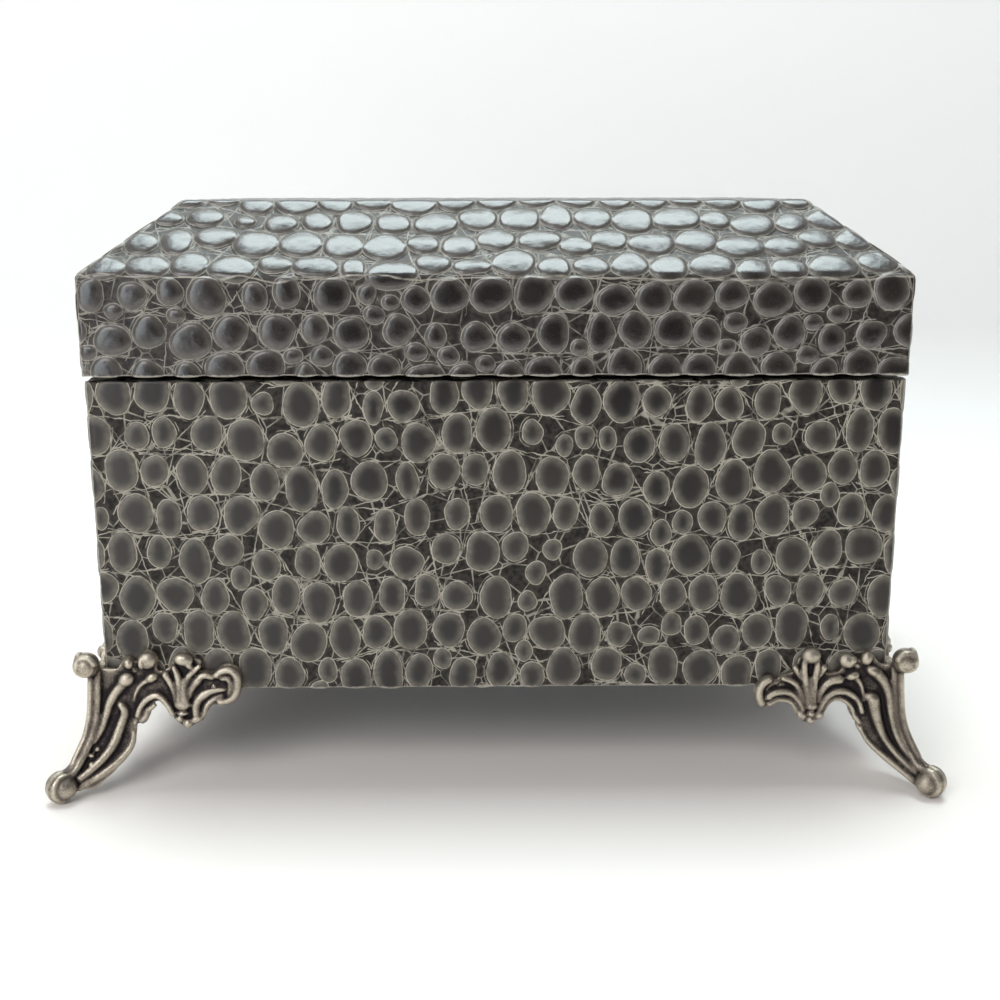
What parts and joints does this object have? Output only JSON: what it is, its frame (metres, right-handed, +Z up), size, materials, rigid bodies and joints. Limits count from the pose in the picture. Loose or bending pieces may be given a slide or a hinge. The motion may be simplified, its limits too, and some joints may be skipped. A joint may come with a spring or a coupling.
{
  "type": "jewelry chest",
  "caption": "Leather-covered jewelry chest with a hinged hipped lid, cast scroll feet at the corners and a lift-out velvet tray.",
  "frame": {"origin": "on the floor, below the centre of the box", "axes": "+X to the chest's right as seen from the front, +Y towards the back, +Z up"},
  "size_m": [0.291, 0.215, 0.1876],
  "materials": {
    "croc_leather": "croc-embossed hide, glazed",
    "fibreboard": "plain board under the leather",
    "velvet": "short-pile velvet",
    "underside_felt": "pressed felt",
    "ribbon": "grosgrain ribbon",
    "antique_pewter": "antique pewter, dark recesses, rubbed high points",
    "foot_nails": "antiqued pin heads",
    "hinge_brass": "aged brass",
    "steel_screws": "plain steel",
    "mirror_glass": "silvered glass"
  },
  "bodies": {
    "base": {"base_panel_front": "fibreboard", "base_panel_back": "fibreboard", "base_panel_left": "fibreboard", "base_panel_right": "fibreboard", "base_bottom": "fibreboard", "base_leather": "croc_leather", "base_felt": "underside_felt", "base_floor_pad": "velvet", "base_lining_front": "velvet", "base_lining_back": "velvet", "base_lining_left": "velvet", "base_lining_right": "velvet", "tray_ledge_left": "velvet", "tray_ledge_right": "velvet", "foot_front_left": "antique_pewter", "foot_front_right": "antique_pewter", "foot_rear_left": "antique_pewter", "foot_rear_right": "antique_pewter", "foot_nails": "foot_nails", "foot_screws": "steel_screws", "hinge_base_leaf_left": "hinge_brass", "hinge_base_leaf_right": "hinge_brass", "hinge_pin_left": "hinge_brass", "hinge_pin_right": "hinge_brass", "hinge_base_screws": "steel_screws"},
    "lid": {"lid_rail_front": "fibreboard", "lid_rail_back": "fibreboard", "lid_rail_left": "fibreboard", "lid_rail_right": "fibreboard", "lid_slope_front": "fibreboard", "lid_slope_back": "fibreboard", "lid_slope_left": "fibreboard", "lid_slope_right": "fibreboard", "lid_top": "fibreboard", "lid_leather": "croc_leather", "lid_lining_front": "velvet", "lid_lining_back": "velvet", "lid_lining_left": "velvet", "lid_lining_right": "velvet", "lid_mirror_frame": "velvet", "lid_mirror": "mirror_glass", "hinge_lid_leaf_left": "hinge_brass", "hinge_lid_leaf_right": "hinge_brass", "hinge_lid_screws": "steel_screws"},
    "tray": {"tray_wall_front": "velvet", "tray_wall_back": "velvet", "tray_wall_left": "velvet", "tray_wall_right": "velvet", "tray_bottom": "velvet", "tray_divider_ring": "velvet", "tray_divider_long": "velvet", "tray_divider_small_1": "velvet", "tray_divider_small_2": "velvet", "tray_pads": "velvet", "tray_ring_rolls": "velvet", "tray_tab_left": "ribbon", "tray_tab_right": "ribbon"}
  },
  "joints": [
    {"name": "lid_hinge", "type": "hinge", "parent": "base", "child": "lid", "pos_m": [0, 0.0928, 0.1341], "axis": [-1, 0, 0], "range_deg": [0, 95]},
    {"name": "tray_lift", "type": "slide", "parent": "base", "child": "tray", "axis": [0, 0, 1], "range_m": [0, 0.028]}
  ]
}
